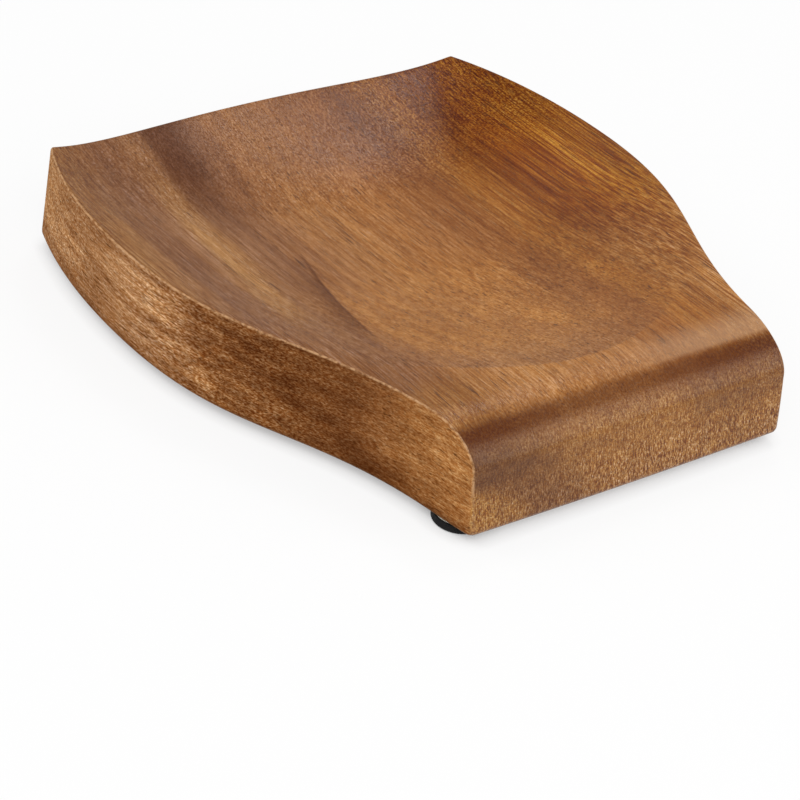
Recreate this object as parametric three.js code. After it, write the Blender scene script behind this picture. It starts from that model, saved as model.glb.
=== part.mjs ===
// Spoon rest: a block of solid wood with a scooped dish and a bull-nosed front, on four stick-on feet.
// Millimetres, +Z up. The table is z = 0, the bull nose faces -Y and the open lip of the dish faces +Y.
import * as THREE from 'three';

// Plan of the block
const LENGTH = 155.4; // of the base: front face to the middle of the back face
const FRONT_BOW = 0.4; // the front edge's middle stands this far ahead of its corners
const BACK_BOW = 4.75; // the back edge's middle stands this far behind its corners

// Base of the side walls
const FRONT_WIDTH = 94.6;
const BELLY_WIDTH = 143;
const BELLY_FROM_FRONT = 96.4; // where the base is widest
const BACK_WIDTH = 124.5;

// The walls lean a little: the rim is this much wider than the base, and its belly lies further back
const FRONT_FLARE = -2.4;
const BELLY_FLARE = 1.4;
const BACK_FLARE = -1.4;
const BELLY_SHIFT = 3.1;
const BACK_LEAN = 0.45; // the back face comes out this much on its way down
const FRONT_TUCK = 1.2; // the base draws in this much at its two front corners
const TUCK_RUN = 4; // length over which that fades

// Reach of the side curve's tangents: at the front corner, and on both sides of the belly
const NECK_RUN = 50;
const NECK_SPLAY = 0.05; // sideways per unit of length
const SHOULDER_RUN = 43.5;
const BELLY_RUN = 29.9;

// Side view of the block
const BOARD_THICKNESS = 24.15;
const NOSE_LENGTH = 18.4; // flat land to the front face's foot
const NOSE_DROP = 9.6;
const FACE_LEAN = 2.2; // the front face comes forward this much on its way down

// Dish
const DISH_DEPTH = 12.4;
const CREASE_SETBACK = 19.4; // front face's foot to the middle of the crease
const CREASE_SAG = 22; // the crease's ends lie this far behind its middle
const CREASE_SLOPE = 0.25; // fall per unit of length just behind the crease
const FLOOR_START = 68; // from the crease, along the middle
const FLOOR_LENGTH = 24;
const LIP_DROP = 3.3; // the back edge's middle lies this far below the rim
const LIP_SLOPE = 0.26; // rise per unit of length at the back edge
const LIP_RUN = 54; // length over which the round section turns into the lip's flat one
const LIP_FLATNESS = 5; // power of the lip's curve: the higher, the flatter its middle
const BOWL_ROUNDNESS = 0.6; // of the cross-section: 0 is a sharp V

// Softened edges
const EDGE_EASE = 0.8;
const BOTTOM_EASE = 2;
const END_SHARE = 0.8; // share of an ease that turns on to the side walls

// Stick-on feet
const FOOT_DIAMETER = 12.7;
const FOOT_HEIGHT = 2;
const FOOT_EDGE = 0.7; // rounding of the lower edge
const FOOT_TAPER = 0.25; // the top is this much smaller in radius
const ADHESIVE_THICKNESS = 0.2;
const ADHESIVE_MARGIN = 0.4; // of rubber left bare around the film
const FRONT_FOOT_INSET = 0.4; // from the side wall to the foot's edge
const BACK_FOOT_INSET = 3.2;
const FRONT_FOOT_SETBACK = 10.4; // front face to the foot's centre
const BACK_FOOT_SETBACK = 9.6; // back corner to the foot's centre

// Facets
const COLUMN_COUNT = 22;
const DISH_ROWS = 30;
const NOSE_ROWS = 9;
const FACE_ROWS = 3;
const LAND_ROWS = 2;
const EASE_STEPS = 3;
const BOTTOM_ROWS = 28;
const ROUND_SEGMENTS = 36;

// Planes that the pieces share
const boardBottom = FOOT_HEIGHT + ADHESIVE_THICKNESS;
const rimHeight = boardBottom + BOARD_THICKNESS;
const frontY = -LENGTH / 2;
const backY = LENGTH / 2;
const frontCornerY = frontY + FRONT_BOW;
const backCornerY = backY - BACK_BOW;

const WOOD = new THREE.MeshStandardMaterial({ color: 0x9c6436, roughness: 0.5, metalness: 0 });
const RUBBER = new THREE.MeshStandardMaterial({ color: 0x141414, roughness: 0.75, metalness: 0 });
const ADHESIVE = new THREE.MeshStandardMaterial({ color: 0xd8d4c6, roughness: 0.6, metalness: 0 });

// One side of the plan: from the front corner through the neck to the belly, and on to the back corner
function sideArcs(frontWidth, bellyWidth, bellyFromFront, backWidth, backCorner) {
  const corner = new THREE.Vector2(frontWidth / 2, frontCornerY);
  const belly = new THREE.Vector2(bellyWidth / 2, frontY + bellyFromFront);
  return [
    new THREE.CubicBezierCurve(
      corner,
      new THREE.Vector2(corner.x + NECK_RUN * NECK_SPLAY, corner.y + NECK_RUN),
      new THREE.Vector2(belly.x, belly.y - SHOULDER_RUN),
      belly,
    ),
    new THREE.QuadraticBezierCurve(
      belly,
      new THREE.Vector2(belly.x, belly.y + BELLY_RUN),
      new THREE.Vector2(backWidth / 2, backCorner),
    ),
  ];
}
const baseArcs = sideArcs(FRONT_WIDTH, BELLY_WIDTH, BELLY_FROM_FRONT, BACK_WIDTH, backCornerY);
const rimArcs = sideArcs(
  FRONT_WIDTH + FRONT_FLARE,
  BELLY_WIDTH + BELLY_FLARE,
  BELLY_FROM_FRONT + BELLY_SHIFT,
  BACK_WIDTH + BACK_FLARE,
  backCornerY - BACK_LEAN,
);

// Where a side of the plan lies at a place along the length: the arcs run forward, so halving finds it
function sideAt([frontArc, backArc], y) {
  const place = THREE.MathUtils.clamp(y, frontArc.v0.y, backArc.v2.y);
  const arc = place < backArc.v0.y ? frontArc : backArc;
  let low = 0;
  let high = 1;
  for (let step = 0; step < 40; step += 1) {
    const middle = (low + high) / 2;
    if (arc.getPoint(middle).y < place) low = middle;
    else high = middle;
  }
  return arc.getPoint(low).x;
}

// Half the block's width at a place along its length and a height
function halfWidth(y, z) {
  const rise = (z - boardBottom) / BOARD_THICKNESS;
  const tuck = FRONT_TUCK * (1 - rise) ** 2 * Math.exp((frontCornerY - y) / TUCK_RUN);
  return THREE.MathUtils.lerp(sideAt(baseArcs, y), sideAt(rimArcs, y), rise) - tuck;
}

// Smooth step between two values that leaves each end at a given slope
function hermite(share, from, fromSlope, to, toSlope) {
  const square = share * share;
  const cube = square * share;
  return from * (2 * cube - 3 * square + 1) + fromSlope * (cube - 2 * square + share)
    + to * (3 * square - 2 * cube) + toSlope * (cube - square);
}

// Depth of the dish on its middle line, at a distance behind the crease
const dishLength = backY - BACK_LEAN - frontY - CREASE_SETBACK;
const floorEnd = FLOOR_START + FLOOR_LENGTH;
function middleDepth(distance) {
  if (distance < FLOOR_START) {
    return hermite(distance / FLOOR_START, 0, CREASE_SLOPE * FLOOR_START, DISH_DEPTH, 0);
  }
  const run = dishLength - floorEnd;
  const share = Math.max(0, (distance - floorEnd) / run);
  return hermite(share, DISH_DEPTH, 0, LIP_DROP, -LIP_SLOPE * run);
}

// Depth of the dish at a share of its length, and a share across from its middle to the rim
function dishDepth(along, across) {
  const distance = along * dishLength;
  const bowl = (Math.hypot(BOWL_ROUNDNESS, across) - BOWL_ROUNDNESS)
    / (Math.hypot(BOWL_ROUNDNESS, 1) - BOWL_ROUNDNESS);
  const lip = Math.abs(across) ** LIP_FLATNESS;
  const blend = Math.max(0, 1 - (dishLength - distance) / LIP_RUN) ** 2;
  return middleDepth(distance) * (1 - THREE.MathUtils.lerp(bowl, lip, blend));
}

// Closed profile of the block at a share across its width, as stations of y, z and edge ease.
// It starts low on the front face, goes up over the nose and the dish, and returns along the bottom.
function profile(across) {
  const front = frontY + FRONT_BOW * across ** 2;
  const back = backY - BACK_BOW * across ** 2;
  const backRim = back - BACK_LEAN;
  const crease = frontY + CREASE_SETBACK + CREASE_SAG * across ** 2;
  const noseEnd = front + NOSE_LENGTH;
  const noseFoot = rimHeight - NOSE_DROP;
  const sideEase = EDGE_EASE * END_SHARE;
  const bottomSideEase = BOTTOM_EASE * END_SHARE;
  const stations = [];
  const put = (y, z, ease) => stations.push({ y, z, ease });

  for (let row = 0; row < FACE_ROWS; row += 1) {
    const share = row / FACE_ROWS;
    const height = THREE.MathUtils.lerp(boardBottom + BOTTOM_EASE, noseFoot, share);
    put(front + FACE_LEAN * share, height, THREE.MathUtils.lerp(bottomSideEase, sideEase, share));
  }
  for (let row = 0; row < NOSE_ROWS; row += 1) {
    const turn = (row / NOSE_ROWS) * Math.PI / 2;
    const reach = (NOSE_LENGTH - FACE_LEAN) * Math.cos(turn);
    put(noseEnd - reach, noseFoot + NOSE_DROP * Math.sin(turn), sideEase);
  }
  for (let row = 0; row < LAND_ROWS; row += 1) {
    put(THREE.MathUtils.lerp(noseEnd, crease, row / LAND_ROWS), rimHeight, sideEase);
  }
  for (let row = 0; row < DISH_ROWS; row += 1) {
    const along = row / DISH_ROWS;
    const y = THREE.MathUtils.lerp(crease, backRim - EDGE_EASE, along);
    put(y, rimHeight - dishDepth(along, across), sideEase);
  }
  const lip = rimHeight - dishDepth(1, across) - EDGE_EASE;
  for (let step = 0; step <= EASE_STEPS; step += 1) {
    const turn = (step / EASE_STEPS) * Math.PI / 2;
    put(backRim - EDGE_EASE + EDGE_EASE * Math.sin(turn), lip + EDGE_EASE * Math.cos(turn), sideEase);
  }
  for (let step = 0; step <= EASE_STEPS; step += 1) {
    const turn = (step / EASE_STEPS) * Math.PI / 2;
    const low = BOTTOM_EASE * (1 - Math.sin(turn));
    put(back - BOTTOM_EASE * (1 - Math.cos(turn)), boardBottom + low, bottomSideEase);
  }
  const backStation = stations.length - 1 - EASE_STEPS;
  for (let row = 1; row < BOTTOM_ROWS; row += 1) {
    const share = row / BOTTOM_ROWS;
    put(THREE.MathUtils.lerp(back - BOTTOM_EASE, front + BOTTOM_EASE, share), boardBottom, bottomSideEase);
  }
  for (let step = 0; step < EASE_STEPS; step += 1) {
    const turn = (step / EASE_STEPS) * Math.PI / 2;
    const low = BOTTOM_EASE * (1 - Math.cos(turn));
    put(front + BOTTOM_EASE * (1 - Math.sin(turn)), boardBottom + low, bottomSideEase);
  }
  return { stations, backStation };
}

// Outward direction of a closed profile at one station
function outward(stations, index) {
  const count = stations.length;
  const before = stations[(index + count - 1) % count];
  const after = stations[(index + 1) % count];
  const length = Math.hypot(after.y - before.y, after.z - before.z);
  return { y: -(after.z - before.z) / length, z: (after.y - before.y) / length };
}

// The block: profiles set side by side across the width, eased into the two side walls
function woodBlock() {
  const positions = [];
  const triangles = [];
  const rings = [];
  const addRing = (points) => {
    const first = positions.length / 3;
    points.forEach((point) => positions.push(point.x, point.y, point.z));
    rings.push(points.map((point, index) => first + index));
  };
  const rim = profile(1);
  const easedPoints = (side, turn) => rim.stations.map((station, index) => {
    const out = outward(rim.stations, index);
    const fall = station.ease * (1 - Math.cos(turn));
    const y = station.y - out.y * fall;
    const z = station.z - out.z * fall;
    return { x: side * (halfWidth(y, z) - station.ease * (1 - Math.sin(turn))), y, z };
  });

  for (let step = EASE_STEPS; step > 0; step -= 1) {
    addRing(easedPoints(-1, (step / EASE_STEPS) * Math.PI / 2));
  }
  for (let column = 0; column <= COLUMN_COUNT; column += 1) {
    const across = (2 * column) / COLUMN_COUNT - 1;
    const { stations } = profile(across);
    addRing(stations.map(({ y, z, ease }) => ({ x: across * (halfWidth(y, z) - ease), y, z })));
  }
  for (let step = 1; step <= EASE_STEPS; step += 1) {
    addRing(easedPoints(1, (step / EASE_STEPS) * Math.PI / 2));
  }

  const count = rim.stations.length;
  for (let column = 0; column + 1 < rings.length; column += 1) {
    for (let index = 0; index < count; index += 1) {
      const next = (index + 1) % count;
      const [near, far] = [rings[column], rings[column + 1]];
      triangles.push(near[index], far[index], far[next]);
      triangles.push(near[index], far[next], near[next]);
    }
  }

  // Each side wall is zipped between the upper and the lower run of its outermost ring
  const placeAlong = (vertex) => positions[vertex * 3 + 1];
  const zip = (ring, flip) => {
    const upper = ring.slice(0, rim.backStation + 1);
    const lower = [ring[0], ...ring.slice(rim.backStation).reverse()];
    const face = (first, second, third) => triangles.push(first, flip ? third : second, flip ? second : third);
    let top = 1;
    let low = 0;
    while (top < upper.length - 1 || low < lower.length - 2) {
      const topEnds = top === upper.length - 1;
      const lowEnds = low === lower.length - 2;
      if (lowEnds || (!topEnds && placeAlong(upper[top + 1]) <= placeAlong(lower[low + 1]))) {
        face(upper[top], lower[low], upper[top + 1]);
        top += 1;
      } else {
        face(upper[top], lower[low], lower[low + 1]);
        low += 1;
      }
    }
  };
  zip(rings[0], true);
  zip(rings[rings.length - 1], false);

  const geometry = new THREE.BufferGeometry();
  geometry.setAttribute('position', new THREE.Float32BufferAttribute(positions, 3));
  geometry.setIndex(triangles);
  geometry.computeVertexNormals();
  const mesh = new THREE.Mesh(geometry, WOOD);
  mesh.name = 'wood_block';
  return mesh;
}

// A rubber foot: a flat disc with a rounded lower edge, revolved about its upright axis
function foot() {
  const radius = FOOT_DIAMETER / 2;
  const outline = [new THREE.Vector2(0, 0)];
  const edgeSteps = 4;
  for (let step = 0; step <= edgeSteps; step += 1) {
    const turn = (step / edgeSteps) * Math.PI / 2;
    const reach = radius - FOOT_EDGE + FOOT_EDGE * Math.sin(turn);
    outline.push(new THREE.Vector2(reach, FOOT_EDGE * (1 - Math.cos(turn))));
  }
  outline.push(new THREE.Vector2(radius - FOOT_TAPER, FOOT_HEIGHT));
  outline.push(new THREE.Vector2(0, FOOT_HEIGHT));
  const geometry = new THREE.LatheGeometry(outline, ROUND_SEGMENTS);
  geometry.rotateX(Math.PI / 2);
  return new THREE.Mesh(geometry, RUBBER);
}

// The film of adhesive between a foot and the block
function adhesive() {
  const radius = FOOT_DIAMETER / 2 - FOOT_TAPER - ADHESIVE_MARGIN;
  const geometry = new THREE.CylinderGeometry(radius, radius, ADHESIVE_THICKNESS, ROUND_SEGMENTS);
  geometry.rotateX(Math.PI / 2);
  return new THREE.Mesh(geometry, ADHESIVE);
}

const spoonRest = new THREE.Group();
spoonRest.add(woodBlock());

const footRows = [
  { end: 'front', y: frontY + FRONT_FOOT_SETBACK, inset: FRONT_FOOT_INSET },
  { end: 'back', y: backCornerY - BACK_FOOT_SETBACK, inset: BACK_FOOT_INSET },
];
const footSides = [
  { hand: 'left', side: -1 },
  { hand: 'right', side: 1 },
];
for (const { end, y, inset } of footRows) {
  for (const { hand, side } of footSides) {
    const x = side * (sideAt(baseArcs, y) - inset - FOOT_DIAMETER / 2);
    const rubber = foot();
    rubber.name = `foot_${end}_${hand}`;
    rubber.position.set(x, y, 0);
    const film = adhesive();
    film.name = `adhesive_${end}_${hand}`;
    film.position.set(x, y, FOOT_HEIGHT + ADHESIVE_THICKNESS / 2);
    spoonRest.add(rubber, film);
  }
}

export default spoonRest;
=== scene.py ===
"""Looks of a carved wooden spoon rest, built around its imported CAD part.

Metres, in the part's own frame: +Z up from the table, the bull nose faces -Y, the dish's open lip faces +Y.
The shape's sizes are millimetres, as in the part's source, and turn into metres when a mesh is made.
"""

import math

import bpy
import numpy as np
from mathutils import Matrix, Vector


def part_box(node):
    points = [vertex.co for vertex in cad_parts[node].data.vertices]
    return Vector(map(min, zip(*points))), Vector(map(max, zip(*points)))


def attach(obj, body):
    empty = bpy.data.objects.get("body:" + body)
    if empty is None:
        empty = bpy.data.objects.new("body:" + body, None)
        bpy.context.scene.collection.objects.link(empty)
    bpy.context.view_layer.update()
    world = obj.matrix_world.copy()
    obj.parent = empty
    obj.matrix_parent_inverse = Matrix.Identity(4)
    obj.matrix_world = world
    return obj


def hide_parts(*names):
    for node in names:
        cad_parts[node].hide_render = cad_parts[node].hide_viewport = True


MM = 0.001

# Plan of the block
LENGTH = 155.4
FRONT_BOW = 0.4
BACK_BOW = 4.75
FRONT_WIDTH = 94.6
BELLY_WIDTH = 143.0
BELLY_FROM_FRONT = 96.4
BACK_WIDTH = 124.5
FRONT_FLARE = -2.4
BELLY_FLARE = 1.4
BACK_FLARE = -1.4
BELLY_SHIFT = 3.1
BACK_LEAN = 0.45
FRONT_TUCK = 1.2
TUCK_RUN = 4.0
NECK_RUN = 50.0
NECK_SPLAY = 0.05
SHOULDER_RUN = 43.5
BELLY_RUN = 29.9

# Side view of the block
BOARD_THICKNESS = 24.15
NOSE_LENGTH = 18.4
NOSE_DROP = 9.6
FACE_LEAN = 2.2

# Dish
DISH_DEPTH = 12.4
CREASE_SETBACK = 19.4
CREASE_SAG = 22.0
CREASE_SLOPE = 0.25
FLOOR_START = 68.0
FLOOR_LENGTH = 24.0
LIP_DROP = 3.3
LIP_SLOPE = 0.26
LIP_RUN = 54.0
LIP_FLATNESS = 5.0
BOWL_ROUNDNESS = 0.6

# Softened edges: radii, and shares of them for the walls' edges and for where the flat walls start
EDGE_EASE = 0.8
BOTTOM_EASE = 2.0
WALL_EDGE_SHARE = 0.8
WALL_START_SHARE = 0.95

# Stick-on feet
FOOT_DIAMETER = 12.7
FOOT_HEIGHT = 2.0
FOOT_EDGE = 0.7
FOOT_TOP_EDGE = 0.25
FOOT_TAPER = 0.25
ADHESIVE_THICKNESS = 0.2

# Facets
COLUMN_COUNT = 96
DISH_ROWS = 110
NOSE_ROWS = 28
FACE_ROWS = 12
LAND_ROWS = 14
EASE_STEPS = 5
BOTTOM_ROWS = 60
CREASE_CROWDING = 1.5
CURVE_SAMPLES = 300
FOOT_SEGMENTS = 64
FOOT_EDGE_STEPS = 8

# How far the drawn block stays inside the part's own walls
SKIN = 0.005

# Planes that the pieces share
BOARD_BOTTOM = FOOT_HEIGHT + ADHESIVE_THICKNESS
RIM_HEIGHT = BOARD_BOTTOM + BOARD_THICKNESS
FRONT_Y = -LENGTH / 2
BACK_Y = LENGTH / 2
FRONT_CORNER_Y = FRONT_Y + FRONT_BOW
BACK_CORNER_Y = BACK_Y - BACK_BOW
DISH_LENGTH = BACK_Y - BACK_LEAN - FRONT_Y - CREASE_SETBACK

# Floor: reach in metres, greys, and the contact shadow's reach in millimetres
FLOOR_REACH = 12.0
FLOOR_GREY = 0.93
FLOOR_ROUGHNESS = 0.9
FLOOR_WHITENESS = 0.85
CONTACT_REACH = 4.0
CONTACT_DEPTH = 0.8

# Light: lamps as name, place and size in metres, and watts
SKY_STRENGTH = 0.42
LAMPS = [
    ("key_softbox", (0.50, 0.44, 1.05), 0.32, 0.32, 2.0),
    ("top_panel", (-0.75, 0.60, 1.00), 0.9, 0.9, 4.0),
    ("front_panel", (0.70, -0.80, 0.56), 0.9, 0.9, 5.0),
    ("camera_fill", (-0.75, -0.90, 0.95), 1.0, 1.0, 8.6),
]

# Camera at the photograph's angle
VIEW_AZIMUTH = -42.345
VIEW_ELEVATION = 32.58
VIEW_ROLL = 9.07
VIEW_AIM = (-38.06, -38.7, 13.18)
VIEW_DISTANCE = 686.5
LENS = 138.08
SENSOR = 36.0

# Tones of the wood as screen values, at places across the grain in millimetres
BAND_REACH = 75.0
BANDS = [
    (-72, (148, 94, 36)),
    (-60, (138, 89, 49)),
    (-54, (146, 95, 50)),
    (-50, (170, 118, 63)),
    (-46, (168, 115, 60)),
    (-43, (146, 96, 52)),
    (-38, (140, 90, 49)),
    (-30, (146, 94, 50)),
    (-22, (163, 107, 55)),
    (-10, (170, 113, 57)),
    (6, (167, 108, 52)),
    (18, (156, 97, 43)),
    (27, (145, 86, 32)),
    (32, (158, 97, 34)),
    (37, (152, 90, 26)),
    (43, (132, 70, 12)),
    (52, (141, 74, 8)),
    (60, (156, 91, 16)),
    (72, (142, 82, 15)),
]
DULL_TONE = (142, 92, 50)
# Dark tone of seams and rings, also painted shade in the dish's back-left fold
DARK_WOOD_AND_SHADE_TONE = (88, 44, 18)
FRONT_TONE = (171, 111, 48)
LAND_TONE = (146, 92, 34)
CORNER_TONE = (112, 52, 0)
GLOW_TONE = (188, 122, 50)
WALL_FRONT_TONE = (153, 101, 58)
WALL_BACK_TONE = (160, 113, 76)
END_TONE = (156, 105, 42)
PORE_TONE = (84, 46, 20)
# Painted sheen on the nose
NOSE_SHEEN_TONE = (192, 152, 116)
# Painted shade on the nose
NOSE_SHADE_TONE = (84, 36, 2)
# Pale rubbed edges, partly painted highlight on the rounded rims
RUBBED_HIGHLIGHT_TONE = (205, 160, 116)

# Walls: how much lighter or darker they are drawn along them, the lighter back end partly painted light
WALL_REACH = 80.0
WALL_TONE_AND_LIGHT_LEVELS = [
    (-76, 1.5),
    (-62, 1.28),
    (-56, 0.94),
    (-50, 0.70),
    (-42, 0.58),
    (-22, 0.63),
    (-8, 0.92),
    (14, 1.32),
    (40, 1.28),
    (56, 1.6),
    (70, 2.0),
]

# Noise in the wood: waves per millimetre along X, Y and Z, detail and roughness
NOISE_MIDDLE = 0.5
WANDER = ((0.024, 0.010, 0.024), 2.0, 0.5)
STREAK = ((0.34, 0.010, 0.34), 4.0, 0.62)
CLOUD = ((0.055, 0.035, 0.055), 3.0, 0.6)
SWEEP = ((0.3, 0.018, 0.5), 3.0, 0.65)
LINE = ((2.1, 0.026, 2.1), 2.0, 0.6)
FIBRE = ((3.0, 0.20, 3.0), 1.5, 0.6)
PIT = ((2.4, 1.6, 2.4), 1.0, 0.5)
STROKE = ((3.6, 1.0, 0.85), 1.5, 0.6)
DASH = ((2.0, 0.85, 3.4), 1.5, 0.6)
PORE = ((3.6, 0.24, 3.6), 1.0, 0.5)
SLIT = ((2.3, 0.11, 2.3), 1.0, 0.5)
NICK = ((0.9, 0.9, 0.9), 2.0, 0.6)

# Zones, as where each starts, gets full, stays full to, and ends, in millimetres across or along the grain
GOLDEN_BAND = (-57.0, -51.0, -45.0, -40.0)
# The heart's band is dark wood and painted shade of the dish's back-left fold
HEART_SHADE_BAND = (-48.0, -43.0, -39.0, -29.0)
SEAM_BAND = (-11.0, -0.4, -0.1, 0.5)
SEAM_RUN = (-40.0, -12.0, -4.0, 20.0)
CRACK_BAND = (-1.5, -0.4, -0.1, 0.3)
CRACK_RUN = (-38.0, -18.0, 6.0, 28.0)
GLOW_RUN = (-52.0, -36.0, -10.0, 16.0)
SPARED_RUN = (-46.0, -34.0, -8.0, 4.0)
SHADE_BAND = (-0.5, 1.5, 1.5, 9.0)
# The nose's painted sheen strip and painted shade strip, along Y
NOSE_SHEEN_STRIP = (-67.8, -66.0, -64.5, -56.0)
NOSE_SHADE_STRIP = (-74.4, -70.4, -69.0, -65.6)

# Fades are two places or shares and, where they aren't 0 and 1, the values there

# Faces that count as walls and as end grain, by how far they look sideways or lengthways
WALL_FACING = (0.5, 0.8)
END_FACING = (0.35, 0.85)

# Bands and patches: patches fade in along X and along Y, up to a share
GRAIN_LEAN = (-30.0, 15.0, 0.14, 0.0)
WANDER_REACH = 9.0
GOLDEN_BACK = (42.0, 66.0, 0.0, 0.7)
GOLDEN_FRONT = (-2.0, -26.0, 0.0, 0.9)
PATCHES = [
    ((33.0, 41.0), (4.0, -34.0), 0.85, FRONT_TONE),
    ((-22.0, -40.0), (-46.0, -57.0), 0.8, LAND_TONE),
    ((42.0, 52.0), (36.0, 58.0), 0.55, CORNER_TONE),
]
GLOW_X = -12.0
GLOW_SIDE = (36.0, 18.0)
GLOW_SHARE = 0.55
WALL_CHANGE = (-16.0, 14.0)
WALL_TONE_SHARE = 0.8

# Heart, partly painted shade in the dish's back-left fold, seam and growth ring
HEART_SHADE_RUN = (30.0, 60.0, 0.0, 0.72)
SEAM_X = -29.7
SEAM_LEAN = 0.304
SEAM_SHARE = 0.7
CRACK_SHARE = 0.8
END_TONE_SHARE = 0.75
RING_X = -50.0
RING_WIDTH = 24.0
RING_HEIGHT = 16.0
RING_WANDER = 0.03
RING_BAND = (0.7, 0.95, 1.15, 1.9)
RING_SHARE = 0.5

# Broad tones
STREAK_TONE = (0.3, 0.7, 0.86, 1.13)
CLOUD_TONE = (0.3, 0.7, 0.90, 1.10)
SWEEP_DEPTH = 0.36
SWEEP_FADE = (10.0, 46.0, 1.0, 0.6)
WALL_DRIFT = 40.0
WALL_SLANT = (8.0, 16.0, 5.0, -2.0)
WALL_FOOT = (12.0, 4.0)
WALL_FOOT_DEPTH = -0.3
SPARED_GAIN = 0.38
END_SIDE = (-30.0, 45.0, -0.08, -0.16)
SHOULDER_HEIGHT = (13.0, 16.0)
SHOULDER_SIDE = (4.0, 38.0, -0.04, -0.2)
# Painted shade on the dish's back slope, less of it toward the right
BACK_SHADE_RUN = (22.0, 60.0)
BACK_SHADE_LEFT = (-20.0, -44.0, -0.27, -0.15)
BACK_SHADE_RIGHT = (40.0, 56.0, 0.0, 0.12)
# Painted shade along the rounded bottom edge
BOTTOM_EDGE_SHADE = (BOARD_BOTTOM, BOARD_BOTTOM + 1.6, 0.3, 1.0)
CREASE_HALF_WIDTH = FRONT_WIDTH / 2 + 2.0
# Painted light on the land and painted shadow behind the crease
LAND_STEP = (0.5, -0.5)
LAND_LIGHT = (-20.0, 0.0, 0.13, 0.07)
LAND_START = (-66.0, -60.0)
LAND_SIDE = (44.0, 24.0)
SHADE_DEPTH = (-6.0, 16.0, -0.08, -0.01)

# Fine marks: noise counts as full this far from its ends
NOISE_MARGIN = 0.3
THREAD_MARGIN = 0.28
LINE_RIGHT = (26.0, 58.0, 0.16, 0.46)
LINE_LEFT = (-34.0, -52.0, 0.0, 0.1)
LINE_ON_WALL = (0.0, 1.0, 1.0, 0.4)
FIBRE_DEPTH = 0.16
PIT_DEPTH = 0.1
PIT_RIGHT = (8.0, 30.0, 0.10, 0.34)
PIT_BACK = (24.0, 50.0)
STROKE_HEIGHT = (17.0, 7.0, 0.36, 0.66)
STROKE_SIDE = (-40.0, 20.0, 0.75, 1.0)
DASH_BACK = (-10.0, 40.0, 0.44, 0.18)
DASH_FRONT = (-20.0, -56.0, 1.0, 0.45)

# Hues: powers of the broad tone and of the fine marks in green and blue, the last from dish to walls
TONE_GREEN = 1.25
TONE_BLUE = 1.4
FINE_GREEN = 1.7
FINE_BLUE = (0.0, 1.0, 3.7, 2.6)

# Pores, the nose's strips of painted sheen and painted shade, and worn edges with a painted highlight
PORE_CUT = (0.56, 0.68)
PORE_SHARE = 0.42
SLIT_CUT = (0.66, 0.73)
SLIT_SHARE = 0.8
NOSE_TOP = (12.0, 16.0)
# Painted sheen and painted shade on the nose: how far across they reach
NOSE_SHEEN_SIDE = (-12.0, 34.0, 0.0, 0.48)
NOSE_SHADE_SIDE = (8.0, 44.0, 0.66, 0.9)
NOSE_SHADE_GRAIN = (0.3, 0.7, 0.8, 1.15)
# Worn edges with a painted highlight
WORN_HIGHLIGHT_CUT = (0.4, 0.95)
WORN_HIGHLIGHT_HEIGHT = (10.0, 17.0, 0.3, 1.0)
NICK_SHARE = (0.35, 0.62, 0.15, 0.85)

# Finish of the wood: gloss, and relief as strength and depth in millimetres
WOOD_ROUGHNESS = (0.3, 0.7, 0.23, 0.31)
PORE_ROUGHNESS = 0.15
WOOD_RELIEF = (0.6, 0.05)
FIBRE_RELIEF = 0.5
WOOD_IOR = 1.35
SPECULAR = 0.5
WALL_DULLNESS = 0.5
DARK_DULLNESS = 0.35
DULL_LEAN = -0.5
DULL_SIDE = (13.0, 22.0)
DULL_BACK = (8.0, 48.0, 0.0, 0.34)

# Rubber and film: noise, tones, roughness and relief as for the wood
RUBBER_GRAIN = ((3.0, 3.0, 3.0), 3.0, 0.6)
RUBBER_DUST = ((0.35, 0.35, 0.35), 3.0, 0.6)
RUBBER_TONES = ((12, 12, 13), (24, 23, 23))
RUBBER_DUSTY = (0.35, 0.7)
RUBBER_ROUGHNESS = (0.3, 0.7, 0.55, 0.75)
RUBBER_RELIEF = (0.4, 0.05)
RUBBER_SPECULAR = 0.2
FILM_HAZE = ((0.8, 0.8, 0.8), 3.0, 0.6)
FILM_TONES = ((206, 200, 184), (226, 222, 210))
FILM_HAZY = (0.3, 0.7)
FILM_ROUGHNESS = (0.3, 0.7, 0.45, 0.65)
FILM_RELIEF = (0.3, 0.04)


def linear(red, green, blue):
    """A colour picked as 0 to 255 screen values, as the linear RGBA that shaders take."""
    values = [c / 255 for c in (red, green, blue)]
    return tuple(v / 12.92 if v <= 0.04045 else ((v + 0.055) / 1.055) ** 2.4 for v in values) + (1.0,)


def grey(level):
    """A linear grey as RGBA."""
    return (level, level, level, 1.0)


def bezier(*points):
    """Places along a Bezier curve with the given control points."""
    t = np.linspace(0, 1, CURVE_SAMPLES)[:, None]
    order = len(points) - 1
    weights = [math.comb(order, k) * t ** k * (1 - t) ** (order - k) for k in range(order + 1)]
    return sum(weight * point for weight, point in zip(weights, points))


def side_curve(front_width, belly_width, belly_from_front, back_width, back_corner):
    """One side of the plan, from the front corner through the belly to the back corner, as x for any y."""
    corner = np.array([front_width / 2, FRONT_CORNER_Y])
    belly = np.array([belly_width / 2, FRONT_Y + belly_from_front])
    back = np.array([back_width / 2, back_corner])
    neck = corner + np.array([NECK_RUN * NECK_SPLAY, NECK_RUN])
    shoulder = belly - np.array([0, SHOULDER_RUN])
    hip = belly + np.array([0, BELLY_RUN])
    fore = bezier(corner, neck, shoulder, belly)
    aft = bezier(belly, hip, back)
    curve = np.vstack([fore, aft[1:]])
    return lambda y: np.interp(y, curve[:, 1], curve[:, 0])


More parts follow.
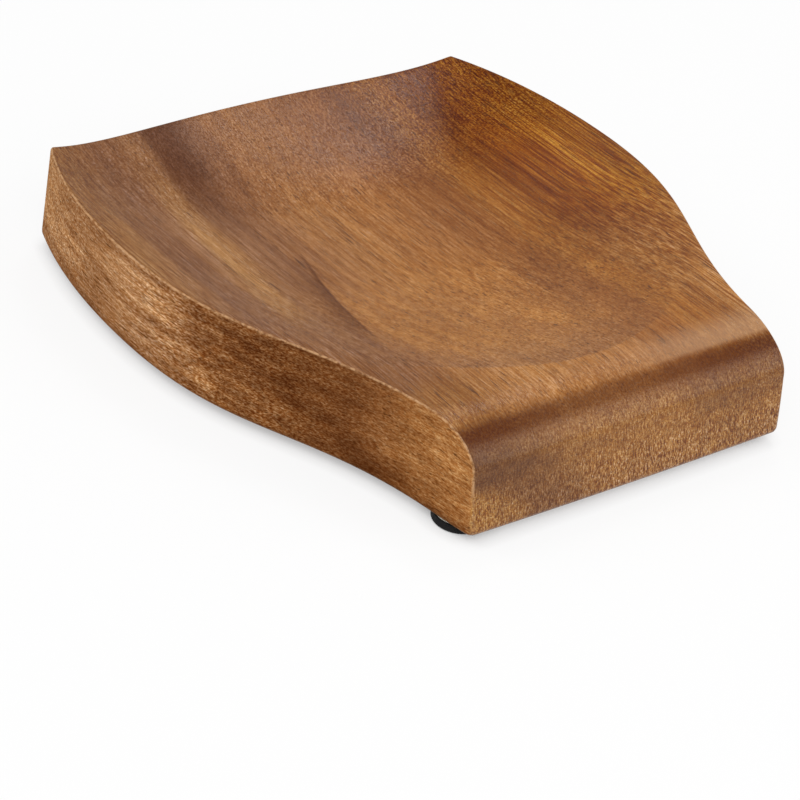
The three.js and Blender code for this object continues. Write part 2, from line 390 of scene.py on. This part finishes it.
base_side = side_curve(FRONT_WIDTH, BELLY_WIDTH, BELLY_FROM_FRONT, BACK_WIDTH, BACK_CORNER_Y)
rim_side = side_curve(
    FRONT_WIDTH + FRONT_FLARE,
    BELLY_WIDTH + BELLY_FLARE,
    BELLY_FROM_FRONT + BELLY_SHIFT,
    BACK_WIDTH + BACK_FLARE,
    BACK_CORNER_Y - BACK_LEAN,
)


def half_width(y, z):
    """Half the block's width at a place along its length and a height."""
    rise = (z - BOARD_BOTTOM) / BOARD_THICKNESS
    tuck = FRONT_TUCK * (1 - rise) ** 2 * np.exp((FRONT_CORNER_Y - y) / TUCK_RUN)
    return base_side(y) + (rim_side(y) - base_side(y)) * rise - tuck - SKIN


def hermite(share, start, start_slope, end, end_slope):
    """Smooth step between two values that leaves each end at a given slope."""
    square = share ** 2
    cube = share ** 3
    rise = start * (2 * cube - 3 * square + 1) + end * (3 * square - 2 * cube)
    return rise + start_slope * (cube - 2 * square + share) + end_slope * (cube - square)


def dish_depth(along, across):
    """Depth of the dish at a share of its length, and a share across from its middle to the rim."""
    distance = along * DISH_LENGTH
    run = DISH_LENGTH - FLOOR_START - FLOOR_LENGTH
    fall_share = np.clip(distance / FLOOR_START, 0, 1)
    rise_share = np.clip((distance - FLOOR_START - FLOOR_LENGTH) / run, 0, 1)
    fall = hermite(fall_share, 0, CREASE_SLOPE * FLOOR_START, DISH_DEPTH, 0)
    rise = hermite(rise_share, DISH_DEPTH, 0, LIP_DROP, -LIP_SLOPE * run)
    middle = np.where(distance < FLOOR_START, fall, rise)
    widest = math.hypot(BOWL_ROUNDNESS, 1) - BOWL_ROUNDNESS
    bowl = (math.hypot(BOWL_ROUNDNESS, across) - BOWL_ROUNDNESS) / widest
    lip = abs(across) ** LIP_FLATNESS
    blend = np.clip(1 - (DISH_LENGTH - distance) / LIP_RUN, 0, None) ** 2
    return middle * (1 - bowl - (lip - bowl) * blend)


def profile(across):
    """Closed profile of the block at a share across its width: y, z, edge radius, and edge wear with painted
    highlight, of each station.

    It starts low on the front face, goes up over the nose and the dish, and returns along the bottom.
    """
    front = FRONT_Y + FRONT_BOW * across ** 2
    back = BACK_Y - BACK_BOW * across ** 2
    back_rim = back - BACK_LEAN
    crease = FRONT_Y + CREASE_SETBACK + CREASE_SAG * across ** 2
    nose_end = front + NOSE_LENGTH
    nose_foot = RIM_HEIGHT - NOSE_DROP
    quarter = np.linspace(0, math.pi / 2, EASE_STEPS + 1)
    runs = []

    def put(y, z, radius, edge_wear_and_highlight=0.0):
        y, z, radius, edge_wear_and_highlight = np.broadcast_arrays(y, z, radius, edge_wear_and_highlight)
        runs.append(np.stack([y, z, radius, edge_wear_and_highlight], axis=1))

    share = np.arange(FACE_ROWS) / FACE_ROWS
    low = BOARD_BOTTOM + BOTTOM_EASE
    radius = BOTTOM_EASE + (EDGE_EASE - BOTTOM_EASE) * share
    put(front + FACE_LEAN * share, low + (nose_foot - low) * share, radius)
    turn = np.arange(NOSE_ROWS) / NOSE_ROWS * math.pi / 2
    reach = (NOSE_LENGTH - FACE_LEAN) * np.cos(turn)
    put(nose_end - reach, nose_foot + NOSE_DROP * np.sin(turn), EDGE_EASE)
    share = 1 - (1 - np.arange(LAND_ROWS) / LAND_ROWS) ** CREASE_CROWDING
    put(nose_end + (crease - nose_end) * share, RIM_HEIGHT, EDGE_EASE)
    along = (np.arange(DISH_ROWS) / DISH_ROWS) ** CREASE_CROWDING
    reach = back_rim - EDGE_EASE - crease
    put(crease + reach * along, RIM_HEIGHT - dish_depth(along, across), EDGE_EASE)
    lip = RIM_HEIGHT - float(dish_depth(np.array(1.0), across)) - EDGE_EASE
    out = EDGE_EASE * (1 - np.sin(quarter))
    put(back_rim - out, lip + EDGE_EASE * np.cos(quarter), EDGE_EASE, np.sin(2 * quarter))
    low = BOTTOM_EASE * (1 - np.sin(quarter))
    put(back - BOTTOM_EASE * (1 - np.cos(quarter)), BOARD_BOTTOM + low, BOTTOM_EASE)
    back_station = sum(len(run) for run in runs) - 1 - EASE_STEPS
    share = np.arange(1, BOTTOM_ROWS) / BOTTOM_ROWS
    put(back - BOTTOM_EASE + (front - back + 2 * BOTTOM_EASE) * share, BOARD_BOTTOM, BOTTOM_EASE)
    low = BOTTOM_EASE * (1 - np.cos(quarter[:-1]))
    put(front + BOTTOM_EASE * (1 - np.sin(quarter[:-1])), BOARD_BOTTOM + low, BOTTOM_EASE)
    return np.vstack(runs), back_station


def block_rings():
    """Rings of points and their edge wear with painted highlight, from the left wall across the block to the
    right wall.
    """
    rim, back_station = profile(1.0)
    tangent = np.roll(rim[:, :2], -1, axis=0) - np.roll(rim[:, :2], 1, axis=0)
    tangent /= np.linalg.norm(tangent, axis=1)[:, None]
    outward = np.stack([-tangent[:, 1], tangent[:, 0]], axis=1)
    ease = rim[:, 2] * WALL_EDGE_SHARE

    def side_ring(side, turn, fall, edge_wear_and_highlight):
        place = rim[:, :2] - outward * fall[:, None]
        x = side * (half_width(place[:, 0], place[:, 1]) - ease * (1 - math.sin(turn)))
        return np.column_stack([x, place]), np.maximum(edge_wear_and_highlight, rim[:, 3])

    def side_rings(side):
        rings = []
        for step in range(1, EASE_STEPS + 1):
            turn = step / EASE_STEPS * math.pi / 2
            rings.append(side_ring(side, turn, ease * (1 - math.cos(turn)), math.sin(2 * turn)))
        rings.append(side_ring(side, math.pi / 2, rim[:, 2] * WALL_START_SHARE, 0.0))
        return rings

    rings = list(reversed(side_rings(-1)))
    for column in range(COLUMN_COUNT + 1):
        across = 2 * column / COLUMN_COUNT - 1
        stations, _ = profile(across)
        y, z, radius, edge_wear_and_highlight = stations.T
        rings.append((np.column_stack([across * (half_width(y, z) - radius * WALL_EDGE_SHARE), y, z]), edge_wear_and_highlight))
    rings += side_rings(1)
    return rings, back_station


def zip_wall(points, ring, back_station, flip):
    """Triangles of a side wall, between the upper and the lower run of its ring."""
    upper = ring[:back_station + 1]
    lower = [ring[0]] + ring[back_station:][::-1]
    faces = []
    top = 1
    low = 0
    while top < len(upper) - 1 or low < len(lower) - 2:
        low_ends = low == len(lower) - 2
        top_ends = top == len(upper) - 1
        if low_ends or (not top_ends and points[upper[top + 1]][1] <= points[lower[low + 1]][1]):
            face = (upper[top], lower[low], upper[top + 1])
            top += 1
        else:
            face = (upper[top], lower[low], lower[low + 1])
            low += 1
        faces.append(face[::-1] if flip else face)
    return faces


def new_mesh(name, points, faces, material):
    """A smooth-shaded mesh object from points in millimetres."""
    mesh = bpy.data.meshes.new(name)
    mesh.from_pydata([tuple(MM * float(c) for c in point) for point in points], [], faces)
    mesh.validate()
    mesh.shade_smooth()
    mesh.materials.append(material)
    piece = bpy.data.objects.new(name, mesh)
    bpy.context.scene.collection.objects.link(piece)
    return piece


def build_block(material):
    """The carved block as one closed skin, with the wear and painted highlight of its edges kept at each
    point.
    """
    rings, back_station = block_rings()
    count = len(rings[0][0])
    points = np.vstack([ring for ring, _ in rings])
    edge_wear_and_highlight = np.concatenate([np.broadcast_to(values, count) for _, values in rings])
    faces = []
    for column in range(len(rings) - 1):
        for index in range(count):
            near = column * count
            far = near + count
            after = (index + 1) % count
            faces.append((near + index, far + index, far + after, near + after))
    first = list(range(count))
    last = list(range((len(rings) - 1) * count, len(rings) * count))
    faces += zip_wall(points, first, back_station, True)
    faces += zip_wall(points, last, back_station, False)
    piece = new_mesh("carved_block", points, faces, material)
    # Edge wear with painted highlight, kept as an attribute
    layer = piece.data.attributes.new("worn_highlight", "FLOAT", "POINT")
    layer.data.foreach_set("value", edge_wear_and_highlight.astype(np.float32))
    weighted = piece.modifiers.new("Weighted normals", "WEIGHTED_NORMAL")
    weighted.keep_sharp = True
    return piece


def build_foot(name, centre, material):
    """A moulded rubber disc with rounded edges, revolved about an upright axis."""
    radius = FOOT_DIAMETER / 2
    top_radius = radius - FOOT_TAPER
    outline = []
    for step in range(FOOT_EDGE_STEPS + 1):
        turn = step / FOOT_EDGE_STEPS * math.pi / 2
        outline.append((radius - FOOT_EDGE * (1 - math.sin(turn)), FOOT_EDGE * (1 - math.cos(turn))))
    for step in range(FOOT_EDGE_STEPS // 2 + 1):
        turn = step / (FOOT_EDGE_STEPS // 2) * math.pi / 2
        reach = top_radius - FOOT_TOP_EDGE * (1 - math.cos(turn))
        outline.append((reach, FOOT_HEIGHT - FOOT_TOP_EDGE * (1 - math.sin(turn))))
    points = []
    for reach, height in outline:
        for segment in range(FOOT_SEGMENTS):
            angle = 2 * math.pi * segment / FOOT_SEGMENTS
            points.append((centre.x + reach * math.cos(angle), centre.y + reach * math.sin(angle), height))
    faces = []
    for row in range(len(outline) - 1):
        for segment in range(FOOT_SEGMENTS):
            after = (segment + 1) % FOOT_SEGMENTS
            low = row * FOOT_SEGMENTS
            high = low + FOOT_SEGMENTS
            faces.append((low + segment, low + after, high + after, high + segment))
    faces.append(tuple(range(FOOT_SEGMENTS))[::-1])
    faces.append(tuple(range((len(outline) - 1) * FOOT_SEGMENTS, len(outline) * FOOT_SEGMENTS)))
    piece = new_mesh(name, points, faces, material)
    piece.modifiers.new("Weighted normals", "WEIGHTED_NORMAL")
    return piece


class Graph:
    """A material's node tree with short calls for the nodes that it needs."""

    def __init__(self, name):
        self.material = bpy.data.materials.new(name)
        self.material.use_nodes = True
        self.nodes = self.material.node_tree.nodes
        self.links = self.material.node_tree.links
        self.shader = self.nodes["Principled BSDF"]

    def put(self, socket, value):
        """Links a socket to another one, or sets its number or colour."""
        if isinstance(value, bpy.types.NodeSocket):
            self.links.new(value, socket)
        else:
            socket.default_value = value

    def add(self, kind, **properties):
        made = self.nodes.new(kind)
        for key, value in properties.items():
            setattr(made, key, value)
        return made

    def math(self, operation, *values, clamp=False):
        made = self.add("ShaderNodeMath", operation=operation, use_clamp=clamp)
        for socket, value in zip(made.inputs, values):
            self.put(socket, value)
        return made.outputs[0]

    def product(self, first, *others):
        for other in others:
            first = self.math("MULTIPLY", first, other)
        return first

    def scaled(self, vector, factors):
        made = self.add("ShaderNodeVectorMath", operation="MULTIPLY")
        self.put(made.inputs[0], vector)
        self.put(made.inputs[1], factors)
        return made.outputs[0]

    def axes(self, vector):
        """X, Y and Z of a vector."""
        made = self.add("ShaderNodeSeparateXYZ")
        self.put(made.inputs[0], vector)
        return made.outputs

    def millimetres(self):
        """Place in the piece, in millimetres."""
        place = self.add("ShaderNodeTexCoord").outputs["Object"]
        return self.scaled(place, (1 / MM, 1 / MM, 1 / MM))

    def noise(self, place, waves, detail, roughness):
        """Noise of 0 to 1 with so many waves per millimetre along each axis."""
        made = self.add("ShaderNodeTexNoise")
        self.put(made.inputs["Vector"], self.scaled(place, waves))
        self.put(made.inputs["Scale"], 1.0)
        self.put(made.inputs["Detail"], detail)
        self.put(made.inputs["Roughness"], roughness)
        return made.outputs["Fac"]

    def span(self, value, low, high, to_low=0.0, to_high=1.0, smooth=True):
        """Maps low..high to to_low..to_high and clips there."""
        made = self.add("ShaderNodeMapRange", interpolation_type="SMOOTHSTEP" if smooth else "LINEAR")
        for socket, number in zip(made.inputs, (value, low, high, to_low, to_high)):
            self.put(socket, number)
        return made.outputs[0]

    def window(self, value, zone):
        """1 in the middle of a zone and 0 outside it."""
        start, full_from, full_to, stop = zone
        return self.product(self.span(value, start, full_from), self.span(value, stop, full_to))

    def ramp(self, value, stops):
        made = self.add("ShaderNodeValToRGB")
        elements = made.color_ramp.elements
        while len(elements) < len(stops):
            elements.new(0.5)
        for element, (place, colour) in zip(elements, stops):
            element.position = place
            element.color = colour
        self.put(made.inputs[0], value)
        return made.outputs["Color"]

    def mix(self, share, first, second):
        made = self.add("ShaderNodeMix", data_type="RGBA")
        self.put(made.inputs["Factor"], share)
        self.put(made.inputs[6], first)
        self.put(made.inputs[7], second)
        return made.outputs[2]

    def surface(self, colour, roughness, height, relief):
        """Gives the shader a colour, a roughness and a relief, as strength and depth in millimetres."""
        strength, depth = relief
        bump = self.add("ShaderNodeBump")
        self.put(bump.inputs["Strength"], strength)
        self.put(bump.inputs["Distance"], depth * MM)
        self.put(bump.inputs["Height"], height)
        self.put(self.shader.inputs["Base Color"], colour)
        self.put(self.shader.inputs["Roughness"], roughness)
        self.put(self.shader.inputs["Normal"], bump.outputs["Normal"])


class Wood(Graph):
    """Oiled, satin, reddish-brown wood as a solid: the grain runs along Y through the whole block.

    Colours are painted first. A broad tone and fine marks then scale them, each with its own change of hue.
    """

    def __init__(self):
        super().__init__("oiled_wood")
        self.place = self.millimetres()
        self.x, self.y, self.z = self.axes(self.place)
        self.aside = self.math("ABSOLUTE", self.x)
        facing_x, facing_y, _ = self.axes(self.add("ShaderNodeNewGeometry").outputs["Normal"])
        self.wall = self.span(self.math("ABSOLUTE", facing_x), *WALL_FACING)
        self.end = self.span(self.math("ABSOLUTE", facing_y), *END_FACING)
        self.streak = self.noise(self.place, *STREAK)
        self.cloud = self.noise(self.place, *CLOUD)
        self.fibre = self.noise(self.place, *FIBRE)
        self.pits = self.noise(self.place, *PIT)
        self.pore = self.span(self.noise(self.place, *PORE), *PORE_CUT)
        wander = self.math("SUBTRACT", self.noise(self.place, *WANDER), NOISE_MIDDLE)
        self.wander = self.product(wander, WANDER_REACH)
        self.paint_bands()
        self.paint_places()
        self.paint_heart_shade_and_seam()
        self.paint_end_grain()
        self.tone = self.product(self.span(self.streak, *STREAK_TONE), self.span(self.cloud, *CLOUD_TONE))
        self.shade_walls()
        self.shade_ends()
        self.shade_land()
        self.fine = 1.0
        self.draw_lines()
        self.draw_flecks()
        self.apply_tones()
        self.paint_pores()
        self.paint_nose_sheen_and_shade()
        self.paint_worn_highlit_edges()
        self.oil()

    def paint(self, share, tone):
        """Mixes a share of a tone into the colour."""
        self.colour = self.mix(share, self.colour, linear(*tone))

    def lighten(self, share):
        """Raises the broad tone by a share, or lowers it by a negative one."""
        self.tone = self.product(self.tone, self.math("ADD", share, 1.0))

    def draw(self, noise, depth, margin=NOISE_MARGIN):
        """Adds noise to the fine marks, so deep to either side."""
        pattern = self.span(noise, margin, 1 - margin, -1.0, 1.0)
        self.fine = self.product(self.fine, self.math("MULTIPLY_ADD", pattern, depth, 1.0))

    def paint_bands(self):
        """Bands across the grain. The fibres lean a little on the left and wander along their length."""
        lean = self.product(self.span(self.x, *GRAIN_LEAN), self.y)
        self.across = self.math("ADD", self.math("SUBTRACT", self.x, lean), self.wander)
        band = self.span(self.across, -BAND_REACH, BAND_REACH, smooth=False)
        stops = [((spot + BAND_REACH) / (2 * BAND_REACH), linear(*tone)) for spot, tone in BANDS]
        self.colour = self.ramp(band, stops)

        # The golden band on the left fades out at both ends
        ends = self.math("ADD", self.span(self.y, *GOLDEN_BACK), self.span(self.y, *GOLDEN_FRONT))
        self.paint(self.product(self.window(self.across, GOLDEN_BAND), ends), DULL_TONE)

    def paint_places(self):
        """Patches at the front and in the right back corner, a glow on the floor, the walls' own tone."""
        for along_x, along_y, share, tone in PATCHES:
            self.paint(self.product(self.span(self.x, *along_x), self.span(self.y, *along_y), share), tone)
        beside = self.math("ABSOLUTE", self.math("SUBTRACT", self.x, GLOW_X))
        glow = self.product(self.window(self.y, GLOW_RUN), self.span(beside, *GLOW_SIDE), GLOW_SHARE)
        self.paint(glow, GLOW_TONE)
        change = self.span(self.y, *WALL_CHANGE)
        wall_colour = self.mix(change, linear(*WALL_FRONT_TONE), linear(*WALL_BACK_TONE))
        self.colour = self.mix(self.product(self.wall, WALL_TONE_SHARE), self.colour, wall_colour)

    def paint_heart_shade_and_seam(self):
        """A broad dark heart at the back, left of the middle, partly painted shade where the dish's left and
        back slopes meet, and ahead of it a seam, sharp on its right.
        """
        heart_and_fold_shade = self.product(self.window(self.across, HEART_SHADE_BAND), self.span(self.y, *HEART_SHADE_RUN))
        leaned = self.math("SUBTRACT", self.x, self.product(self.y, SEAM_LEAN))
        beside = self.math("SUBTRACT", leaned, SEAM_X)
        seam = self.product(self.window(beside, SEAM_BAND), self.window(self.y, SEAM_RUN), SEAM_SHARE)
        crack = self.product(self.window(beside, CRACK_BAND), self.window(self.y, CRACK_RUN), CRACK_SHARE)
        self.dark = self.math("MAXIMUM", heart_and_fold_shade, self.math("MAXIMUM", seam, crack))
        # Painted shade: the heart darkens the fold between the dish's left and back slopes
        self.paint(self.dark, DARK_WOOD_AND_SHADE_TONE)

    def paint_end_grain(self):
        """End grain shows the bands less, and a dark growth ring round its lower left corner."""
        self.paint(self.product(self.end, END_TONE_SHARE), END_TONE)
        wide = self.math("DIVIDE", self.math("SUBTRACT", self.x, RING_X), RING_WIDTH)
        high = self.math("DIVIDE", self.z, RING_HEIGHT)
        square = self.math("ADD", self.math("POWER", wide, 2.0), self.math("POWER", high, 2.0))
        ring = self.math("ADD", self.math("SQRT", square), self.product(self.wander, RING_WANDER))
        self.paint(self.product(self.window(ring, RING_BAND), self.end, RING_SHARE), DARK_WOOD_AND_SHADE_TONE)

    def shade_walls(self):
        """Walls have long sweeps, vary along their length, lighter at the back end partly as painted light,
        and but for one run are darker at their foot.
        """
        sweep = self.span(self.noise(self.place, *SWEEP), NOISE_MARGIN, 1 - NOISE_MARGIN, -1.0, 1.0)
        depth = self.product(self.span(self.math("ABSOLUTE", self.y), *SWEEP_FADE), SWEEP_DEPTH)
        self.lighten(self.product(sweep, depth, self.wall))
        drift = self.product(self.math("SUBTRACT", self.cloud, NOISE_MIDDLE), WALL_DRIFT)
        slant = self.span(self.z, *WALL_SLANT, smooth=False)
        along = self.math("ADD", self.math("ADD", self.y, drift), slant)
        along = self.span(along, -WALL_REACH, WALL_REACH, smooth=False)

        # A ramp's colours go up to 1, so the levels are halved in it
        stops = [((spot + WALL_REACH) / (2 * WALL_REACH), grey(level / 2)) for spot, level in WALL_TONE_AND_LIGHT_LEVELS]
        level = self.math("MULTIPLY_ADD", self.ramp(along, stops), 2.0, -1.0)
        # Levels along the wall, with painted light at its lighter back end
        self.lighten(self.product(level, self.wall))
        depth = self.math("MULTIPLY_ADD", self.window(self.y, SPARED_RUN), SPARED_GAIN, WALL_FOOT_DEPTH)
        self.lighten(self.product(self.span(self.z, *WALL_FOOT), depth, self.wall))

    def shade_ends(self):
        """Darker are the end grain's right and shoulders; painted shade lies on the back of the dish and the
        rounded bottom edge.
        """
        shoulder = self.product(self.span(self.z, *SHOULDER_HEIGHT), self.span(self.aside, *SHOULDER_SIDE))
        depth = self.math("ADD", self.span(self.x, *END_SIDE), shoulder)
        self.lighten(self.product(depth, self.end))
        # Painted shade on the dish's back slope
        depth = self.math("ADD", self.span(self.x, *BACK_SHADE_LEFT), self.span(self.x, *BACK_SHADE_RIGHT))
        self.lighten(self.product(self.span(self.y, *BACK_SHADE_RUN), depth))
        # Painted shade along the rounded bottom edge
        self.tone = self.product(self.tone, self.span(self.z, *BOTTOM_EDGE_SHADE))

    def shade_land(self):
        """The land in front of the dish is lighter up to the crease, partly its own tone and partly painted
        light, and a painted soft shadow lies behind the crease.
        """
        share = self.math("DIVIDE", self.x, CREASE_HALF_WIDTH)
        crease = self.math("POWER", share, 2.0)
        crease = self.math("MULTIPLY_ADD", crease, CREASE_SAG, FRONT_Y + CREASE_SETBACK)
        behind = self.math("SUBTRACT", self.y, crease)
        land_tone_and_light = self.product(self.span(behind, *LAND_STEP), self.span(self.x, *LAND_LIGHT))
        land_tone_and_light = self.product(land_tone_and_light, self.span(self.y, *LAND_START))
        shade = self.product(self.window(behind, SHADE_BAND), self.span(self.x, *SHADE_DEPTH))
        self.lighten(self.product(self.math("ADD", land_tone_and_light, shade), self.span(self.aside, *LAND_SIDE)))

    def draw_lines(self):
        """Lines and fibres along the grain, deepest on the right, and the pits that sanding leaves."""
        depth = self.math("ADD", self.span(self.x, *LINE_RIGHT), self.span(self.x, *LINE_LEFT))
        depth = self.product(depth, self.span(self.wall, *LINE_ON_WALL))
        self.draw(self.noise(self.place, *LINE), depth, THREAD_MARGIN)
        self.draw(self.fibre, FIBRE_DEPTH, THREAD_MARGIN)
        depth = self.product(self.span(self.x, *PIT_RIGHT), self.span(self.y, *PIT_BACK))
        self.draw(self.pits, self.math("ADD", depth, PIT_DEPTH))

    def draw_flecks(self):
        """Upright strokes on end grain, and short dashes on the walls."""
        depth = self.product(self.span(self.z, *STROKE_HEIGHT), self.span(self.x, *STROKE_SIDE), self.end)
        self.draw(self.noise(self.place, *STROKE), depth)
        depth = self.product(self.span(self.y, *DASH_BACK), self.span(self.y, *DASH_FRONT), self.wall)
        self.draw(self.noise(self.place, *DASH), depth)

    def apply_tones(self):
        """Where the wood is darker it is redder too, and more so in its fine marks."""
        fine_blue = self.span(self.wall, *FINE_BLUE)
        powers = [(1.0, 1.0), (TONE_GREEN, FINE_GREEN), (TONE_BLUE, fine_blue)]
        hues = self.add("ShaderNodeCombineXYZ")
        for socket, (tone_power, fine_power) in zip(hues.inputs, powers):
            broad = self.math("POWER", self.tone, tone_power)
            self.put(socket, self.product(broad, self.math("POWER", self.fine, fine_power)))
        self.colour = self.scaled(self.colour, hues.outputs[0])

    def paint_pores(self):
        """Open pores: thin dark dashes along the grain, dots where a face cuts across it."""
        self.paint(self.product(self.pore, PORE_SHARE), PORE_TONE)
        slit = self.span(self.noise(self.place, *SLIT), *SLIT_CUT)
        self.paint(self.product(slit, SLIT_SHARE), PORE_TONE)

    def paint_nose_sheen_and_shade(self):
        """A strip of painted sheen on the nose, and ahead of it a strip of painted shade."""
        top = self.math("SUBTRACT", self.span(self.z, *NOSE_TOP), self.wall, clamp=True)
        nose_sheen = self.product(self.window(self.y, NOSE_SHEEN_STRIP), self.span(self.x, *NOSE_SHEEN_SIDE), top)
        # Painted sheen where the nose starts to round over
        self.paint(nose_sheen, NOSE_SHEEN_TONE)
        nose_shade = self.product(self.window(self.y, NOSE_SHADE_STRIP), top, self.span(self.aside, *NOSE_SHADE_SIDE))
        nose_shade = self.math("MULTIPLY", nose_shade, self.span(self.pits, *NOSE_SHADE_GRAIN), clamp=True)
        # Painted shade in a band across the nose
        self.paint(nose_shade, NOSE_SHADE_TONE)

    def paint_worn_highlit_edges(self):
        """Edges are rubbed pale, partly wear and partly painted highlight, with gaps, and less so low down.
        """
        worn_highlight = self.span(self.add("ShaderNodeAttribute", attribute_name="worn_highlight").outputs["Fac"], *WORN_HIGHLIGHT_CUT)
        nicks = self.span(self.noise(self.place, *NICK), *NICK_SHARE)
        # Painted highlight and wear along the rounded edges
        self.paint(self.product(worn_highlight, self.span(self.z, *WORN_HIGHLIGHT_HEIGHT), nicks), RUBBED_HIGHLIGHT_TONE)

    def oil(self):
        """A satin finish, duller on the walls, in dark wood and its painted shade, and in the right back
        corner.
        """
        gloss = self.span(self.streak, *WOOD_ROUGHNESS)
        roughness = self.math("MULTIPLY_ADD", self.pore, PORE_ROUGHNESS, gloss)
        height = self.math("MULTIPLY_ADD", self.fibre, FIBRE_RELIEF, self.pits)
        height = self.math("SUBTRACT", height, self.pore)
        self.surface(self.colour, roughness, height, WOOD_RELIEF)
        self.shader.inputs["IOR"].default_value = WOOD_IOR
        rightward = self.math("MULTIPLY_ADD", self.y, DULL_LEAN, self.x)
        dull = self.product(self.span(rightward, *DULL_SIDE), self.span(self.y, *DULL_BACK))
        dull = self.math("MAXIMUM", dull, self.product(self.wall, WALL_DULLNESS))
        dull = self.math("MAXIMUM", dull, self.product(self.dark, DARK_DULLNESS))
        self.put(self.shader.inputs["Specular IOR Level"], self.math("SUBTRACT", SPECULAR, dull))


def rubber_material():
    """Matt black moulded rubber with a fine grain."""
    g = Graph("black_rubber")
    place = g.millimetres()
    grain = g.noise(place, *RUBBER_GRAIN)
    dust = g.span(g.noise(place, *RUBBER_DUST), *RUBBER_DUSTY)
    clean, dusty = (linear(*tone) for tone in RUBBER_TONES)
    g.surface(g.mix(dust, clean, dusty), g.span(grain, *RUBBER_ROUGHNESS), grain, RUBBER_RELIEF)
    g.shader.inputs["Specular IOR Level"].default_value = RUBBER_SPECULAR
    return g.material


def adhesive_material():
    """Milky tacky film."""
    g = Graph("adhesive_film")
    haze = g.noise(g.millimetres(), *FILM_HAZE)
    clear, milky = (linear(*tone) for tone in FILM_TONES)
    colour = g.mix(g.span(haze, *FILM_HAZY), clear, milky)
    g.surface(colour, g.span(haze, *FILM_ROUGHNESS), haze, FILM_RELIEF)
    return g.material


def floor_material():
    """Looks nearly white where it is seen or mirrored, with a faint shadow round what stands on it."""
    g = Graph("pale_floor")
    g.shader.inputs["Base Color"].default_value = grey(FLOOR_GREY)
    g.shader.inputs["Roughness"].default_value = FLOOR_ROUGHNESS
    glow = g.add("ShaderNodeEmission")
    glow.inputs["Color"].default_value = grey(1.0)
    glow.inputs["Strength"].default_value = 1.0
    contact = g.add("ShaderNodeAmbientOcclusion")
    contact.inputs["Distance"].default_value = CONTACT_REACH * MM
    dark = FLOOR_WHITENESS * (1 - CONTACT_DEPTH)
    bright = g.span(contact.outputs["AO"], 0.0, 1.0, dark, FLOOR_WHITENESS, smooth=False)
    path = g.add("ShaderNodeLightPath")
    seen = path.outputs["Is Camera Ray"]
    for name in ("Is Glossy Ray", "Is Transmission Ray"):
        seen = g.math("MAXIMUM", seen, path.outputs[name])
    both = g.add("ShaderNodeMixShader")
    g.put(both.inputs[0], g.product(seen, bright))
    g.put(both.inputs[1], g.shader.outputs[0])
    g.put(both.inputs[2], glow.outputs[0])
    g.put(g.nodes["Material Output"].inputs["Surface"], both.outputs[0])
    return g.material


def build_floor():
    """A plain level floor under the feet."""
    mesh = bpy.data.meshes.new("floor")
    low, high = -FLOOR_REACH, FLOOR_REACH
    mesh.from_pydata([(low, low, 0), (high, low, 0), (high, high, 0), (low, high, 0)], [], [(0, 1, 2, 3)])
    mesh.materials.append(floor_material())
    floor = bpy.data.objects.new("floor", mesh)
    bpy.context.scene.collection.objects.link(floor)


def build_lights():
    """A soft even sky and the lamps, each turned to the middle of the table."""
    world = bpy.data.worlds.new("studio")
    bpy.context.scene.world = world
    world.use_nodes = True
    background = world.node_tree.nodes["Background"]
    background.inputs["Color"].default_value = grey(1.0)
    background.inputs["Strength"].default_value = SKY_STRENGTH
    for name, place, width, height, power in LAMPS:
        data = bpy.data.lights.new(name, "AREA")
        data.shape = "RECTANGLE"
        data.size = width
        data.size_y = height
        data.energy = power
        lamp = bpy.data.objects.new(name, data)
        lamp.location = place
        lamp.rotation_euler = (-Vector(place)).to_track_quat("-Z", "Y").to_euler()
        bpy.context.scene.collection.objects.link(lamp)


def build_camera():
    """The camera, turned about the point it aims at and rolled about its own line of sight."""
    azimuth = math.radians(VIEW_AZIMUTH)
    elevation = math.radians(VIEW_ELEVATION)
    roll = math.radians(VIEW_ROLL)
    back = Vector((
        math.sin(azimuth) * math.cos(elevation),
        -math.cos(azimuth) * math.cos(elevation),
        math.sin(elevation),
    ))
    level = Vector((math.cos(azimuth), math.sin(azimuth), 0))
    upright = back.cross(level)
    right = level * math.cos(roll) + upright * math.sin(roll)
    up = upright * math.cos(roll) - level * math.sin(roll)
    place = Vector(VIEW_AIM) * MM + back * VIEW_DISTANCE * MM
    data = bpy.data.cameras.new("view")
    data.sensor_width = SENSOR
    data.lens = LENS
    camera = bpy.data.objects.new("view", data)
    bpy.context.scene.collection.objects.link(camera)
    camera.matrix_world = Matrix((
        (right.x, up.x, back.x, place.x),
        (right.y, up.y, back.y, place.y),
        (right.z, up.z, back.z, place.z),
        (0, 0, 0, 1),
    ))
    bpy.context.scene.camera = camera


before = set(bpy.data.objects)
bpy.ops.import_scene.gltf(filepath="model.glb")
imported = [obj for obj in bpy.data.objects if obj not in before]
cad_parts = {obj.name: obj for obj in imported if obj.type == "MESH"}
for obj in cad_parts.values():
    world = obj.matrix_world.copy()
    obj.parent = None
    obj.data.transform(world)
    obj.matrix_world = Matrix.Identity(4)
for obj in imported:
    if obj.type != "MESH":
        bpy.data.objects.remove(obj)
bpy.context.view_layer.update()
bpy.context.scene.view_settings.view_transform = "Standard"

wood = Wood().material
rubber = rubber_material()
film = adhesive_material()

block = build_block(wood)
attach(block, "root")
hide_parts("wood_block")

for end in ("front", "back"):
    for hand in ("left", "right"):
        node = f"foot_{end}_{hand}"
        low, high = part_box(node)
        foot = build_foot(f"rubber_{node}", (low + high) / 2 / MM, rubber)
        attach(foot, "root")
        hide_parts(node)
        film_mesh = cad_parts[f"adhesive_{end}_{hand}"].data
        film_mesh.materials.clear()
        film_mesh.materials.append(film)

build_floor()
build_lights()
build_camera()
